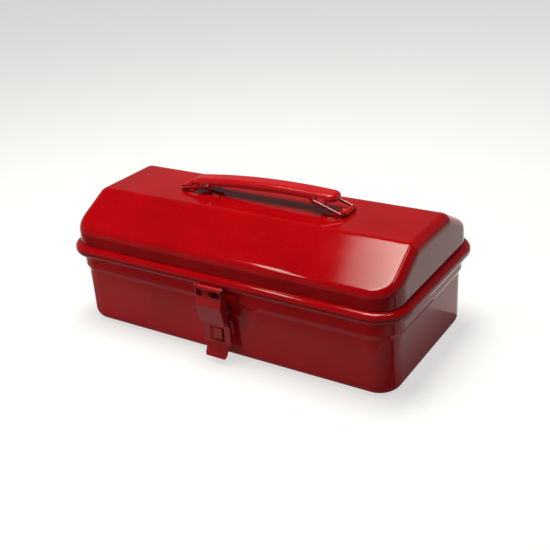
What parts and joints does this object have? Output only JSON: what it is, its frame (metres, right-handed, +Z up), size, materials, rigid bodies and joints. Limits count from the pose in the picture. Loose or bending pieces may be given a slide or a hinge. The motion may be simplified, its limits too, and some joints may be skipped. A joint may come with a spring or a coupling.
{
  "type": "hip-top steel carrying box",
  "caption": "Red enamelled pressed-steel carrying box with a hip-top lid on rear hinges, a folding top handle and a snap hasp latch in front.",
  "frame": {"origin": "the middle of the flat base, on the surface that the box stands on", "axes": "+X along the box to the right as seen from the latch side, +Y towards the hinges, +Z up"},
  "size_m": [0.359, 0.1923, 0.1458],
  "materials": {
    "body_enamel": "glossy red baked enamel, slightly duller on the tray",
    "lid_enamel": "glossy red baked enamel",
    "handle_enamel": "glossy red baked enamel",
    "link_enamel": "glossy red baked enamel over wire",
    "latch_enamel": "glossy red baked enamel, worn at the edges",
    "hinge_enamel": "glossy red baked enamel",
    "rivet_enamel": "red enamel over domed rivets",
    "pin_steel": "plain steel with red overspray"
  },
  "bodies": {
    "tray": {"body_shell": "body_enamel", "hinge_left_body_leaf": "hinge_enamel", "hinge_left_pin": "pin_steel", "hinge_left_body_rivets": "rivet_enamel", "hinge_right_body_leaf": "hinge_enamel", "hinge_right_pin": "pin_steel", "hinge_right_body_rivets": "rivet_enamel", "latch_keeper": "latch_enamel", "latch_keeper_rivets": "rivet_enamel"},
    "lid": {"lid_shell": "lid_enamel", "hinge_left_lid_leaf": "hinge_enamel", "hinge_left_lid_rivets": "rivet_enamel", "hinge_right_lid_leaf": "hinge_enamel", "hinge_right_lid_rivets": "rivet_enamel", "handle_bracket_left": "handle_enamel", "handle_bracket_right": "handle_enamel", "handle_rivets_left": "rivet_enamel", "handle_rivets_right": "rivet_enamel", "latch_lid_bracket": "latch_enamel", "latch_hasp_pin": "pin_steel"},
    "hasp": {"latch_hasp": "latch_enamel", "latch_lever_pin": "pin_steel"},
    "lever": {"latch_lever": "latch_enamel"},
    "handle": {"handle_grip": "handle_enamel"},
    "link_left": {"handle_link_left": "link_enamel"},
    "link_right": {"handle_link_right": "link_enamel"}
  },
  "joints": [
    {"name": "lid_hinge", "type": "hinge", "parent": "tray", "child": "lid", "pos_m": [0, 0.0865, 0.0701], "axis": [-1, 0, 0], "range_deg": [0, 100]},
    {"name": "hasp_swing", "type": "hinge", "parent": "lid", "child": "hasp", "pos_m": [0, -0.0946, 0.0768], "axis": [-1, 0, 0], "range_deg": [0, 100]},
    {"name": "lever_pull", "type": "hinge", "parent": "hasp", "child": "lever", "pos_m": [0, -0.0885, 0.0531], "axis": [-1, 0, 0], "range_deg": [0, 12]},
    {"name": "handle_lift", "type": "slide", "parent": "lid", "child": "handle", "axis": [0, 0, 1], "range_m": [0, 0.012]},
    {"name": "link_left_turn", "type": "hinge", "parent": "lid", "child": "link_left", "pos_m": [-0.0853, 0, 0.1287], "axis": [0, -1, 0], "range_deg": [0, 24.3]},
    {"name": "link_right_turn", "type": "hinge", "parent": "lid", "child": "link_right", "pos_m": [0.0903, 0, 0.1287], "axis": [0, 1, 0], "range_deg": [0, 26.3]}
  ],
  "couplings": [
    {"joint": "link_left_turn", "follows": "handle_lift", "rad_per_m": 35.04},
    {"joint": "link_right_turn", "follows": "handle_lift", "rad_per_m": 37.88}
  ]
}
